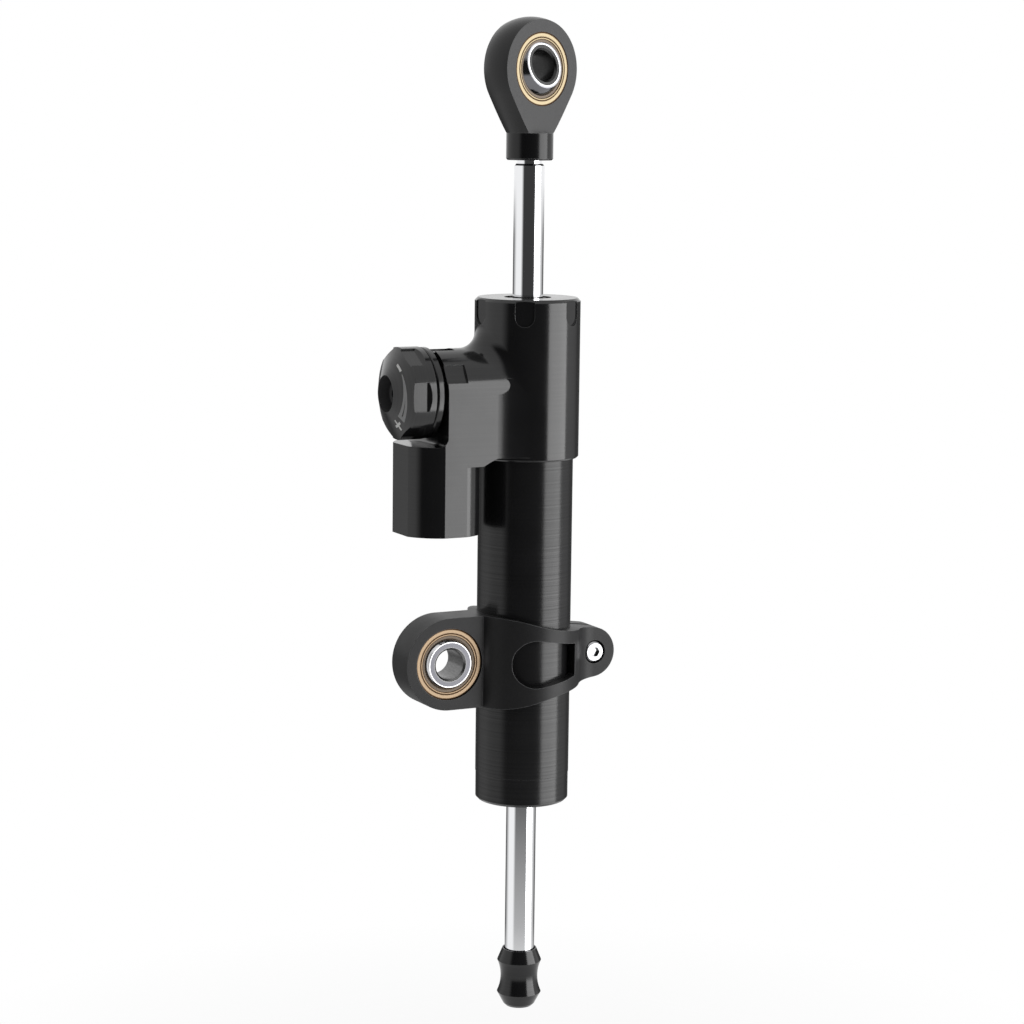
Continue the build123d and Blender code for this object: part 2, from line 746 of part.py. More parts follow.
# Spindle: collar in the bush, bore for the needle's tail, bore for the knob's screw
with BuildPart() as adjuster_spindle:
    tail_hole_end = needle_end + 2 * needle_travel
    with BuildSketch(knob_plane):
        band(0, spindle_collar_r, spindle_start, spindle_start + spindle_collar)
        band(0, spindle_r, spindle_start, spindle_end)
        band(0, needle_tail_r + running_gap, spindle_start, tail_hole_end, Mode.SUBTRACT)
        band(0, screw_r, knob_floor - screw_length, spindle_end, Mode.SUBTRACT)
        ring_groove(spindle_r, spindle_ring_u, valve_ring_section)
    revolve(axis=axle(knob_plane))
adjuster_spindle.part.label = "adjuster_spindle"
export_step(adjuster_spindle.part, "parts/adjuster_spindle.step")

spindle_ring = seal_ring(knob_plane, spindle_r, spindle_ring_u, valve_ring_section, seal_nip)
spindle_ring.label = "adjuster_spindle_ring"
export_step(spindle_ring, "parts/adjuster_spindle_ring.step")

# Detent ball in its socket, and the spring behind it
detent_z = knob_z - notch_place
with BuildPart() as detent_ball:
    with Locations((damper_x - detent_ball_u, 0, detent_z)):
        Sphere(ball_r)
detent_ball.part.label = "detent_ball"
export_step(detent_ball.part, "parts/detent_ball.step")

detent_spring_start = neck_reach - detent_depth + detent_wire
detent_spring_end = detent_ball_u - ball_r - running_gap
with BuildPart() as detent_spring:
    with BuildLine():
        coil = Helix(
            pitch=(detent_spring_end - detent_spring_start) / detent_turns,
            height=detent_spring_end - detent_spring_start,
            radius=detent_spring_r,
            center=(damper_x - detent_spring_start, 0, detent_z),
            direction=(-1, 0, 0),
        )
    with BuildSketch(Plane(origin=coil @ 0, z_dir=coil % 0)):
        RegularPolygon(detent_wire / 2, wire_sides)
    sweep()
detent_spring.part.label = "detent_spring"
export_step(detent_spring.part, "parts/detent_spring.step")

# Detent ring behind the knob, notched on its back
notch_side = sqrt(2) * notch_depth
with BuildPart() as detent_ring:
    with BuildSketch(knob_plane):
        band(spindle_r, detent_ring_r, detent_ring_start, detent_ring_end)
    revolve(axis=axle(knob_plane))
    rims = detent_ring.edges().filter_by(GeomType.CIRCLE)
    chamfer(rims.filter_by(lambda edge: edge.radius > knob_hub_r), detent_ring_edge)
    with Locations(knob_axis_plane(detent_ring_start).location):
        with PolarLocations(notch_place, notch_count):
            Box(notch_length, notch_side, notch_side, rotation=(45, 0, 0), mode=Mode.SUBTRACT)
detent_ring.part.label = "detent_ring"
export_step(detent_ring.part, "parts/detent_ring.step")

# Knob: coned face with a recess, grips sunk in the rim that run out towards the back
with BuildPart() as knob:
    with BuildSketch(knob_plane):
        with BuildLine():
            Polyline(
                (0, knob_back),
                (knob_r - knob_back_edge, knob_back),
                (knob_r, knob_back + knob_back_edge),
                (knob_r, knob_edge),
                (knob_recess_r, knob_nose),
                (0, knob_nose),
                close=True,
            )
        make_face()
        band(0, knob_hub_r, detent_ring_end, knob_back)
        band(0, knob_recess_r, knob_floor, knob_nose, Mode.SUBTRACT)
        band(0, spindle_r, detent_ring_end, spindle_end, Mode.SUBTRACT)
        band(0, screw_r, spindle_end, knob_floor, Mode.SUBTRACT)
    revolve(axis=axle(knob_plane))
    for step in range(grip_count):
        turn = radians(90 + step * 360 / grip_count)
        grip_plane = Plane(
            origin=(damper_x, 0, knob_z),
            x_dir=(-1, 0, 0),
            z_dir=(0, cos(turn), -sin(turn)),
        )
        with BuildSketch(grip_plane):
            with BuildLine():
                Polyline(
                    (grip_start, knob_r),
                    (grip_start + grip_ramp, grip_floor),
                    (knob_nose, grip_floor),
                    (knob_nose, knob_r + overrun),
                    (grip_start, knob_r + overrun),
                    close=True,
                )
            make_face()
        extrude(amount=grip_width / 2, both=True, mode=Mode.SUBTRACT)
knob.part.label = "knob"
export_step(knob.part, "parts/knob.step")

# Screw that holds the knob on its spindle
with BuildPart() as knob_screw:
    with BuildSketch(knob_plane):
        band(0, screw_r, knob_floor - screw_length, knob_floor)
        band(0, screw_head_r, knob_floor, knob_floor + screw_head)
    revolve(axis=axle(knob_plane))
    with BuildSketch(knob_axis_plane(knob_floor + screw_head)):
        RegularPolygon(screw_socket / 2, 6, major_radius=False)
    extrude(amount=-screw_socket_depth, mode=Mode.SUBTRACT)
knob_screw.part.label = "knob_screw"
export_step(knob_screw.part, "parts/knob_screw.step")

# Piston, turning on the rod between two clips, with its guide band
piston_low = stack_low + clip_thick + face_gap
piston_r = bore_r - face_gap
piston_band_r = bore_r - running_gap
band_low = piston_low + (piston_length - piston_band_length) / 2
with BuildPart() as piston:
    with BuildSketch(rod_plane):
        band(slide_r, piston_r, piston_low, piston_low + piston_length)
        band(
            piston_band_r - piston_band_wall,
            bore_r,
            band_low,
            band_low + piston_band_length,
            Mode.SUBTRACT,
        )
    revolve(axis=axle(rod_plane))
piston.part.label = "piston"
export_step(piston.part, "parts/piston.step")

with BuildPart() as piston_band:
    with BuildSketch(rod_plane):
        band(piston_band_r - piston_band_wall, piston_band_r, band_low, band_low + piston_band_length)
    revolve(axis=axle(rod_plane))
piston_band.part.label = "piston_band"
export_step(piston_band.part, "parts/piston_band.step")

# Clips on both sides of the piston
for place, clip_low in (("upper", stack_high - clip_thick), ("lower", stack_low)):
    with BuildPart() as rod_clip:
        with BuildSketch(Plane.XY.offset(clip_low)):
            with Locations((damper_x, 0)):
                Circle(clip_r)
                Circle(clip_seat_r, mode=Mode.SUBTRACT)
                Rectangle(clip_r * 2, clip_mouth, align=(Align.MIN, Align.CENTER), mode=Mode.SUBTRACT)
        extrude(amount=clip_thick)
    rod_clip.part.label = place + "_rod_clip"
    export_step(rod_clip.part, f"parts/{place}_rod_clip.step")

# Rod, grooved for the piston's clips, with a stud at each end
rod_foot = bumper_high - bumper_bore_depth
rod_top = rod_end_low - rod_neck_length
with BuildPart() as rod:
    with BuildSketch(rod_plane):
        with BuildLine():
            Polyline(
                (0, rod_foot),
                (rod_r, rod_foot),
                (rod_r, rod_top - rod_edge),
                (rod_r - rod_edge, rod_top),
                (0, rod_top),
                close=True,
            )
        make_face()
        band(0, thread_r, rod_foot - thread_length, rod_foot)
        band(0, rod_neck_r, rod_top, rod_end_low)
        band(0, thread_r, rod_end_low, rod_end_low + thread_length)
        for clip_low in (stack_low, stack_high - clip_thick):
            band(clip_seat_r, rod_r + overrun, clip_low, clip_low + clip_thick, Mode.SUBTRACT)
    revolve(axis=axle(rod_plane))
rod.part.label = "rod"
export_step(rod.part, "parts/rod.step")

# Bumper on the rod's foot, turned with two beads and a waist
with BuildPart() as bumper:
    with BuildSketch(rod_plane):
        with BuildLine():
            rim = (bumper_rim_r, bumper_high)
            top_bead = (bumper_bead_r, bumper_high - bumper_bead_drop)
            waist = (bumper_waist_r, bumper_high - bumper_waist_drop)
            low_bead = (bumper_bead_r, bumper_high - bumper_low_bead_drop)
            foot = (bumper_foot_r, bumper_low + bumper_foot_rise)
            Line((0, bumper_high), rim)
            Line(rim, top_bead)
            ThreePointArc(top_bead, waist, low_bead)
            Line(low_bead, foot)
            Line(foot, (bumper_foot_r - bumper_foot_rise, bumper_low))
            Line((bumper_foot_r - bumper_foot_rise, bumper_low), (0, bumper_low))
            Line((0, bumper_low), (0, bumper_high))
        make_face()
        band(0, rod_r + bumper_bore_gap, rod_foot, bumper_high, Mode.SUBTRACT)
        band(0, thread_r, rod_foot - thread_length, rod_foot, Mode.SUBTRACT)
    revolve(axis=axle(rod_plane))
bumper.part.label = "bumper"
export_step(bumper.part, "parts/bumper.step")

# Rod end: a ball-shaped eye drawn out into a neck, cut flat on both sides
neck_top = rod_end_low + rod_end_neck
eye_drop = bearing_z - neck_top
eye_hold = atan2(eye_drop, rod_end_neck_r) - acos(rod_end_r / hypot(eye_drop, rod_end_neck_r))
with BuildPart() as rod_end:
    with BuildSketch(rod_plane):
        with Locations((0, bearing_z)):
            Circle(rod_end_r)
        with BuildLine():
            Polyline(
                (0, neck_top),
                (rod_end_neck_r, neck_top),
                (rod_end_r * cos(eye_hold), bearing_z - rod_end_r * sin(eye_hold)),
                (0, bearing_z),
                close=True,
            )
        make_face()
        band(0, rod_end_r, rod_end_low, bearing_z + rod_end_r, Mode.INTERSECT)
    revolve(axis=axle(rod_plane))
    with Locations(rod_bearing_plane.location):
        Box(4 * rod_end_r, 2 * rod_end_half, 4 * rod_end_r, mode=Mode.INTERSECT)
    with BuildSketch(rod_plane):
        band(0, rod_end_neck_r, rod_end_low, neck_top)
    revolve(axis=axle(rod_plane))
    chamfer(rod_end.edges().group_by(Axis.Z)[0], rod_end_neck_edge)
    with BuildSketch(rod_bearing_plane):
        band(0, race_r, -rod_end_half, rod_end_half)
    revolve(axis=axle(rod_bearing_plane), mode=Mode.SUBTRACT)
    with BuildSketch(rod_plane):
        band(0, thread_r, rod_end_low, rod_end_low + thread_length)
    revolve(axis=axle(rod_plane), mode=Mode.SUBTRACT)
rod_end.part.label = "rod_end"
export_step(rod_end.part, "parts/rod_end.step")

# Race, liner and ball of both bearings
liner_sphere_r = race_sphere_r - running_gap
ball_hole_r = liner_sphere_r - liner_wall
for place, plane, ball_plane in (
    ("clamp", clamp_bearing_plane, clamp_bearing_plane),
    ("rod_end", rod_bearing_plane, rod_ball_plane),
):
    with BuildPart() as race:
        with BuildSketch(plane):
            band(0, race_r, -race_half, race_half)
            Circle(race_sphere_r, mode=Mode.SUBTRACT)
        revolve(axis=axle(plane))
    race.part.label = place + "_race"
    export_step(race.part, f"parts/{place}_race.step")
    with BuildPart() as liner:
        with BuildSketch(plane):
            Circle(liner_sphere_r)
            band(0, liner_sphere_r, -liner_half, liner_half, Mode.INTERSECT)
            Circle(ball_hole_r, mode=Mode.SUBTRACT)
        revolve(axis=axle(plane))
    liner.part.label = place + "_liner"
    export_step(liner.part, f"parts/{place}_liner.step")
    with BuildPart() as bearing_ball:
        with BuildSketch(ball_plane):
            Circle(ball_hole_r - running_gap)
            band(mount_bore_r, ball_hole_r, -ball_half, ball_half, Mode.INTERSECT)
        revolve(axis=axle(ball_plane))
        bore_rims = bearing_ball.edges().filter_by(GeomType.CIRCLE).group_by(SortBy.RADIUS)[0]
        chamfer(bore_rims, ball_edge)
    bearing_ball.part.label = place + "_ball"
    export_step(bearing_ball.part, f"parts/{place}_ball.step")

# Clamp: eye, band around the tube and slit ear, drawn from the front and from above
ear_x = damper_x + ear_reach
shoulder_x = damper_x - clamp_band_r + shoulder_inset
screw_x = ear_x + clamp_screw_aside
window_left_x = damper_x - clamp_band_r + window_left_inset
window_right_x = damper_x + clamp_band_r - window_right_inset
head_seat_y = counterbore_depth - ear_half
with BuildPart() as clamp:
    with BuildSketch(Plane.XZ):
        Circle(eye_r)
        with Locations((ear_x, 0)):
            Circle(ear_r)
        with BuildLine():
            slope_x, slope_z = sin(radians(band_slope)), cos(radians(band_slope))
            ear_touch = (ear_x + ear_r * slope_x, ear_r * slope_z)
            Line((0, eye_r), (shoulder_x, eye_r))
            Spline(
                (shoulder_x, eye_r),
                (damper_x, band_half),
                ear_touch,
                tangents=((1, 0), (slope_z, -slope_x)),
            )
            Polyline(ear_touch, (ear_x, 0), (0, 0), (0, eye_r))
        make_face()
        mirror(about=Plane.XZ)
    extrude(amount=clamp_band_r, both=True)
    with BuildSketch(Plane.XY.offset(-eye_r)) as clamp_above:
        with Locations((damper_x, 0)):
            Circle(clamp_band_r)
        Rectangle(2 * damper_x, 2 * eye_half)
        with Locations((damper_x, 0)):
            Rectangle(2 * damper_x, 2 * ear_half, align=(Align.MIN, Align.CENTER))
        corners = clamp_above.vertices().filter_by_position(Axis.X, eye_r, ear_x)
        fillet(corners.group_by(Axis.X)[0], eye_blend)
        fillet(corners.group_by(Axis.X)[-1], ear_blend)
    extrude(amount=2 * eye_r, mode=Mode.INTERSECT)
    with BuildSketch(rod_plane):
        band(0, tube_r, -clamp_band_r, clamp_band_r)
    revolve(axis=axle(rod_plane), mode=Mode.SUBTRACT)
    with BuildSketch(clamp_bearing_plane):
        band(0, race_r, -clamp_band_r, clamp_band_r)
    revolve(axis=axle(clamp_bearing_plane), mode=Mode.SUBTRACT)
    with Locations((2 * damper_x, 0, 0)):
        Box(2 * damper_x, slit, 2 * eye_r, mode=Mode.SUBTRACT)
    # Windows in the band, front and back
    with BuildSketch(Plane.XZ):
        with BuildLine() as window:
            Polyline(
                (window_left_x, -window_left_half),
                (window_left_x, window_left_half),
                (window_right_x, window_right_half),
                (window_right_x, -window_right_half),
                close=True,
            )
        make_face()
        fillet(window.vertices().group_by(Axis.X)[0], window_left_round)
        fillet(window.vertices().group_by(Axis.X)[-1], window_right_round)
    extrude(amount=clamp_band_r, both=True, mode=Mode.SUBTRACT)
    # Holes for the clamp screw, its head sunk into the near lug
    with BuildSketch(Plane(origin=(screw_x, head_seat_y, 0), z_dir=(0, -1, 0))):
        Circle(counterbore_r)
    extrude(amount=counterbore_depth + overrun, mode=Mode.SUBTRACT)
    for hole_r, direction in ((clamp_hole_r, -1), (clamp_screw_r, 1)):
        with BuildSketch(Plane(origin=(screw_x, 0, 0), z_dir=(0, direction, 0))):
            Circle(hole_r)
        extrude(amount=ear_half, mode=Mode.SUBTRACT)
clamp.part.label = "clamp"
export_step(clamp.part, "parts/clamp.step")

# Clamp screw, with a hexagon socket
with BuildPart() as clamp_screw:
    seat_plane = Plane(origin=(screw_x, head_seat_y, 0), x_dir=(1, 0, 0), z_dir=(0, -1, 0))
    with BuildSketch(seat_plane):
        Circle(clamp_screw_head_r)
    extrude(amount=clamp_screw_head)
    chamfer(clamp_screw.edges().group_by(Axis.Y)[0], clamp_screw_edge)
    with BuildSketch(seat_plane.offset(clamp_screw_head)):
        RegularPolygon(clamp_screw_socket / 2, 6, major_radius=False)
    extrude(amount=-clamp_screw_socket_depth, mode=Mode.SUBTRACT)
    with BuildSketch(seat_plane):
        Circle(clamp_screw_r)
    extrude(amount=-clamp_screw_length)
clamp_screw.part.label = "clamp_screw"
export_step(clamp_screw.part, "parts/clamp_screw.step")
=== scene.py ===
"""Looks of a motorcycle steering damper: materials, marks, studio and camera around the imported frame."""

import json
from math import cos, degrees, pi, radians, sin

import bmesh
import bpy
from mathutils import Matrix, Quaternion, Vector


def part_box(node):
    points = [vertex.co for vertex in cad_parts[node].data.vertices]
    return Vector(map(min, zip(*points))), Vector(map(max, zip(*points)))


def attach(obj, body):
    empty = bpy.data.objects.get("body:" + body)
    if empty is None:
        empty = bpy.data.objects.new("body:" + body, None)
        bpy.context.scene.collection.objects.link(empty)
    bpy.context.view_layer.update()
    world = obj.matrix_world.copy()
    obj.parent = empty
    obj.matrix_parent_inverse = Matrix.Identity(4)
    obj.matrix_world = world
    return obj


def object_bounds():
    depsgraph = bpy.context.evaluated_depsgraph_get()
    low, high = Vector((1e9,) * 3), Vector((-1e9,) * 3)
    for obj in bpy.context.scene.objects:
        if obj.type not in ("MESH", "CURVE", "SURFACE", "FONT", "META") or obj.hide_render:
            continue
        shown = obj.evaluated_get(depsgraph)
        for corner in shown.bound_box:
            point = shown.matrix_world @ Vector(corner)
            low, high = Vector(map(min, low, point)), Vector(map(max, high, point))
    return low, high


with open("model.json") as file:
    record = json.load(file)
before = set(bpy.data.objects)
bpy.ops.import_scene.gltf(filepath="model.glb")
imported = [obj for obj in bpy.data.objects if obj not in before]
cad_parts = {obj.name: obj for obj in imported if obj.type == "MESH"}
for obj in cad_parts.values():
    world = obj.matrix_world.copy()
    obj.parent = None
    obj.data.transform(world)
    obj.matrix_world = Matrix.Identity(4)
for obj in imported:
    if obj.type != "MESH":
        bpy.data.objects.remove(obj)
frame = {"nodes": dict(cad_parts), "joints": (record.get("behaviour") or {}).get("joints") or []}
cad_low, cad_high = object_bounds()
MM = 0.001


def middle(node):
    """Centre of a CAD node's box."""
    low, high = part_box(node)
    return (low + high) / 2


# Places taken from the frame
rod_axis = middle("rod")
knob_axis = middle("knob")
knob_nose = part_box("knob")[0].x
clamp_bearing = middle("clamp_race")
rod_bearing = middle("rod_end_race")
clamp_screw_axis = middle("clamp_screw")
rod_end_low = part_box("rod_end")[0].z

# Camera, found by matching the photograph's edges
CAMERA_AZIMUTH = 27.2  # degrees from -Y towards -X
CAMERA_DISTANCE = 721.5 * MM  # level distance from the rod's axis
CAMERA_HEIGHT = 144.9 * MM
CAMERA_PITCH = 8.4  # degrees down
CAMERA_ASIDE = 0.273  # degrees that it looks left of the rod's axis
CAMERA_ROLL = 0.71
CAMERA_NEAR = 0.01
CAMERA_FAR = 20
FOCAL_PIXELS = 2750
FRAME_PIXELS = 1024
SENSOR = 36.0  # width in Blender's own millimetres

towards_camera = Vector((-sin(radians(CAMERA_AZIMUTH)), -cos(radians(CAMERA_AZIMUTH)), 0))
camera_right = Vector((cos(radians(CAMERA_AZIMUTH)), -sin(radians(CAMERA_AZIMUTH)), 0))


def add(name, data):
    """Object with this data, placed in the scene."""
    made = bpy.data.objects.new(name, data)
    bpy.context.scene.collection.objects.link(made)
    return made


def make_camera():
    """Camera at the photograph's own place and angle."""
    data = bpy.data.cameras.new("camera")
    data.sensor_width = SENSOR
    data.lens = SENSOR * FOCAL_PIXELS / FRAME_PIXELS
    data.clip_start = CAMERA_NEAR
    data.clip_end = CAMERA_FAR
    camera = add("camera", data)
    place = Vector((rod_axis.x, rod_axis.y, 0)) + towards_camera * CAMERA_DISTANCE
    camera.location = (place.x, place.y, CAMERA_HEIGHT)
    level = -towards_camera * cos(radians(CAMERA_ASIDE)) - camera_right * sin(radians(CAMERA_ASIDE))
    forward = level * cos(radians(CAMERA_PITCH)) + Vector((0, 0, -sin(radians(CAMERA_PITCH))))
    roll = Quaternion((0, 0, 1), radians(CAMERA_ROLL))
    camera.rotation_mode = "QUATERNION"
    camera.rotation_quaternion = forward.to_track_quat("-Z", "Y") @ roll
    bpy.context.scene.camera = camera


class Nodes:
    """A node tree with short ways to add and join nodes."""

    def __init__(self, tree):
        self.tree = tree

    def node(self, kind, **settings):
        """New node of this kind with these properties."""
        made = self.tree.nodes.new(kind)
        for name, value in settings.items():
            setattr(made, name, value)
        return made

    def link(self, output, node, place):
        """Joins an output to this input of the node."""
        self.tree.links.new(output, node.inputs[place])

    def feed(self, node, place, value):
        """Gives an input a number, or the output of another node."""
        if isinstance(value, (int, float)):
            node.inputs[place].default_value = value
        else:
            self.link(value, node, place)

    def math(self, operation, a, b=None):
        """Sum, product or the like of one or two values."""
        made = self.node("ShaderNodeMath", operation=operation)
        self.feed(made, 0, a)
        if b is not None:
            self.feed(made, 1, b)
        return made.outputs[0]

    def vector(self, operation, a, b=None, output=0):
        """The same for a vector and, where there is one, a constant vector."""
        made = self.node("ShaderNodeVectorMath", operation=operation)
        self.link(a, made, 0)
        if b is not None:
            made.inputs[1].default_value = b
        return made.outputs[output]

    def parts_of(self, vector):
        """The x, y and z of a vector."""
        made = self.node("ShaderNodeSeparateXYZ")
        self.link(vector, made, 0)
        return made.outputs

    def step(self, value, start, end, low=0.0, high=1.0):
        """Runs from low to high while the value runs from start to end."""
        made = self.node("ShaderNodeMapRange")
        self.link(value, made, "Value")
        made.inputs["From Min"].default_value = start
        made.inputs["From Max"].default_value = end
        made.inputs["To Min"].default_value = low
        made.inputs["To Max"].default_value = high
        return made.outputs[0]

    def between(self, factor, a, b):
        """Blend of two values."""
        made = self.node("ShaderNodeMix", data_type="FLOAT")
        self.feed(made, "Factor", factor)
        self.feed(made, "A", a)
        self.feed(made, "B", b)
        return made.outputs["Result"]

    def tint(self, factor, dark, light):
        """Blend of two colours, each a colour or another blend."""
        made = self.node("ShaderNodeMix", data_type="RGBA")
        self.link(factor, made, "Factor")
        for place, value in (("A", dark), ("B", light)):
            if isinstance(value, tuple):
                made.inputs[place].default_value = (*value, 1)
            else:
                self.link(value, made, place)
        return made.outputs["Result"]

    def shown(self):
        """1 for rays by which the camera or a shiny or clear surface sees the background."""
        rays = self.node("ShaderNodeLightPath").outputs
        direct = self.math("MAXIMUM", rays["Is Camera Ray"], rays["Is Glossy Ray"])
        return self.math("MAXIMUM", direct, rays["Is Transmission Ray"])


# Cosine between the rounded and the true normal where the lighter edge colour, wear and painted highlight,
# starts and where it is full
EDGE_FROM = 0.99
EDGE_FULL = 0.92


class Material(Nodes):
    """A node material with the principled shader at its end."""

    def __init__(self, name, color, roughness, metallic=0.0, specular=0.5):
        self.material = bpy.data.materials.new(name)
        self.material.use_nodes = True
        self.material.diffuse_color = (*color, 1)
        super().__init__(self.material.node_tree)
        self.shader = self.tree.nodes["Principled BSDF"]
        self.shader.inputs["Base Color"].default_value = (*color, 1)
        self.shader.inputs["Roughness"].default_value = roughness
        self.shader.inputs["Metallic"].default_value = metallic
        self.shader.inputs["Specular IOR Level"].default_value = specular
        self.place = self.node("ShaderNodeTexCoord").outputs["Object"]
        self.normal = None

    def noise(self, grain, detail=2.0, stretch=None):
        """Noise with grains of about this size."""
        vector = self.place if stretch is None else self.vector("MULTIPLY", self.place, stretch)
        made = self.node("ShaderNodeTexNoise")
        self.link(vector, made, "Vector")
        made.inputs["Scale"].default_value = 1 / grain
        made.inputs["Detail"].default_value = detail
        return made.outputs["Fac"]

    def lines(self, along, grain, detail=3.0):
        """Fine lines that change only with this one value."""
        made = self.node("ShaderNodeTexNoise", noise_dimensions="1D")
        self.link(along, made, "W")
        made.inputs["Scale"].default_value = 1 / grain
        made.inputs["Detail"].default_value = detail
        return made.outputs["Fac"]

    def spread(self, noise, low, high):
        """The middle of a noise spread from low to high."""
        return self.step(noise, 0.3, 0.7, low, high)

    def radius_about(self, centre, axis):
        """Distance from an axis through this centre."""
        offset = self.vector("SUBTRACT", self.place, centre)
        across = self.vector("CROSS_PRODUCT", offset, Vector(axis).normalized())
        return self.vector("LENGTH", across, output="Value")

    def soften(self, radius):
        """Rounds the light on sharp edges, as broken edges do, and gives 1 where they are."""
        made = self.node("ShaderNodeBevel", samples=4)
        made.inputs["Radius"].default_value = radius
        self.wear_normal(made)
        likeness = self.node("ShaderNodeVectorMath", operation="DOT_PRODUCT")
        self.link(made.outputs[0], likeness, 0)
        self.link(self.node("ShaderNodeNewGeometry").outputs["Normal"], likeness, 1)
        return self.step(likeness.outputs["Value"], EDGE_FROM, EDGE_FULL)

    def bump(self, height, depth):
        """Adds relief of this depth."""
        made = self.node("ShaderNodeBump")
        made.inputs["Distance"].default_value = depth
        self.link(height, made, "Height")
        self.wear_normal(made)

    def wear_normal(self, made):
        """Puts a bevel or bump node after the ones that are there."""
        if self.normal is not None:
            self.link(self.normal, made, "Normal")
        self.normal = made.outputs[0]
        self.link(self.normal, self.shader, "Normal")

    def set(self, **values):
        """Joins outputs to the shader's sockets, named with _ for a space."""
        for name, value in values.items():
            self.link(value, self.shader, name.replace("_", " ").title().replace("Ior", "IOR"))
        return self.material


# Colours of black anodising
EDGE_WEAR_AND_HIGHLIGHT = (0.11, 0.11, 0.113)  # lighter at the edges of a satin or blasted piece: rubbed-thin wear and a painted highlight
TURNED_EDGE_WEAR_AND_HIGHLIGHT = (0.032, 0.032, 0.033)  # the same at the edges of a turned piece: wear and a painted highlight
# Lighter tone within the knob's recess: painted light against the recess's shade
RECESS_PAINTED_LIGHT = (0.045, 0.045, 0.046)
TURNED_DARK = (0.0048, 0.0048, 0.0051)
TURNED_LIGHT = (0.0068, 0.0068, 0.0072)
NECK_BLACK = (0.0045, 0.0045, 0.0048)
BLASTED_DARK = (0.008, 0.008, 0.0085)
BLASTED_LIGHT = (0.022, 0.022, 0.023)

# Sizes on the pieces, where the finish changes
ROD_END_TURN = 17.5  # degrees about the rod
ROD_BALL_LEAN = 11.7  # degrees out of level
ROD_END_HALF = 4.3 * MM  # half the eye's thickness
ROD_END_NECK = 7.0 * MM  # height of the shiny neck
RACE_R = 9.5 * MM
RACE_MOUTH_R = 7.5 * MM
KNOB_RECESS_R = 4.8 * MM

# Grains of machined faces
TURNING = 0.12 * MM  # distance between fine turning lines
TOOL_FEED = 0.42 * MM
TOOL_WAVE = 1.6 * MM


def turned_black(name, roughness, specular, depth, along="Z", streaks=0.06, recess=None):
    """Black anodised aluminium with fine turning lines; rougher within the recess (centre, axis, radius),
    where a lighter tone is painted light against its shade.
    """
    made = Material(name, TURNED_DARK, roughness, specular=specular)
    edge = made.soften(0.15 * MM)
    along_value = made.parts_of(made.place)[along]
    fine = made.lines(along_value, TURNING)
    feed = made.lines(along_value, TOOL_FEED, detail=2.0)
    coarse = made.lines(along_value, TOOL_WAVE, detail=1.0)
    cloud = made.noise(9 * MM, detail=3)
    made.bump(fine, depth)
    made.bump(coarse, depth * 2)
    clouded = made.spread(cloud, roughness - 0.02, roughness + 0.02)
    rough = made.math("ADD", made.spread(fine, -0.02, 0.03), clouded)
    black = made.tint(cloud, TURNED_DARK, TURNED_LIGHT)
    if recess is not None:
        centre, axis, recess_r = recess
        radius = made.radius_about(centre, axis)
        inside = made.step(radius, recess_r + 0.15 * MM, recess_r + 0.05 * MM)
        # Painted light: the recess gets a lighter tone against its shade, and a rougher face
        black = made.tint(inside, black, RECESS_PAINTED_LIGHT)
        rough = made.between(inside, rough, 0.5)
    return made.set(
        roughness=rough,
        specular_ior_level=made.spread(feed, specular * (1 - streaks), specular * (1 + streaks)),
        # Edges lighter: wear together with a painted highlight
        base_color=made.tint(edge, black, TURNED_EDGE_WEAR_AND_HIGHLIGHT),
    )


def satin_black(name, dark, light, roughness, specular, grain, depth):
    """Black anodised aluminium with an even satin or blasted face."""
    made = Material(name, light, roughness, specular=specular)
    edge = made.soften(0.25 * MM)
    beads = made.noise(grain)
    cloud = made.noise(7 * MM, detail=3)
    made.bump(beads, depth)
    return made.set(
        roughness=made.spread(cloud, roughness - 0.04, roughness + 0.04),
        # Edges lighter: wear together with a painted highlight
        base_color=made.tint(edge, made.tint(made.spread(beads, 0, 1), dark, light), EDGE_WEAR_AND_HIGHLIGHT),
    )


def rod_end_black(name, neck_top, centre, axis, half):
    """Rod end: blasted flat faces, turned sides, and a shiny neck below neck_top."""
    made = Material(name, (0.01, 0.01, 0.01), 0.4, specular=0.35)
    edge = made.soften(0.2 * MM)
    height = made.parts_of(made.place)["Z"]
    above = made.step(height, neck_top, neck_top + 0.3 * MM)
    offset = made.vector("SUBTRACT", made.place, centre)
    off_middle = made.math("ABSOLUTE", made.vector("DOT_PRODUCT", offset, axis, "Value"))
    eye = made.math("MULTIPLY", above, made.step(off_middle, half - 0.15 * MM, half - 0.05 * MM))
    beads = made.noise(0.3 * MM, detail=1.0)
    lines = made.lines(height, TURNING)
    made.bump(made.math("MULTIPLY", beads, eye), 0.02 * MM)
    made.bump(lines, 0.0006 * MM)
    blasted = made.tint(made.spread(beads, 0, 1), BLASTED_DARK, BLASTED_LIGHT)
    return made.set(
        roughness=made.between(eye, made.step(above, 0, 1, 0.2, 0.27), made.spread(beads, 0.36, 0.5)),
        # Edges lighter: wear together with a painted highlight
        base_color=made.tint(edge, made.tint(eye, NECK_BLACK, blasted), EDGE_WEAR_AND_HIGHLIGHT),
    )


def polished(name, color, roughness, along="Z", grain=0.08 * MM, depth=0.0003 * MM):
    """Polished or ground metal with faint lines round it."""
    made = Material(name, color, roughness, metallic=1.0)
    fine = made.lines(made.parts_of(made.place)[along], grain)
    cloud = made.noise(5 * MM)
    made.bump(fine, depth)
    dark = tuple(c * 0.94 for c in color)
    return made.set(
        roughness=made.spread(cloud, roughness * 0.85, roughness * 1.25),
        base_color=made.tint(fine, dark, color),
    )


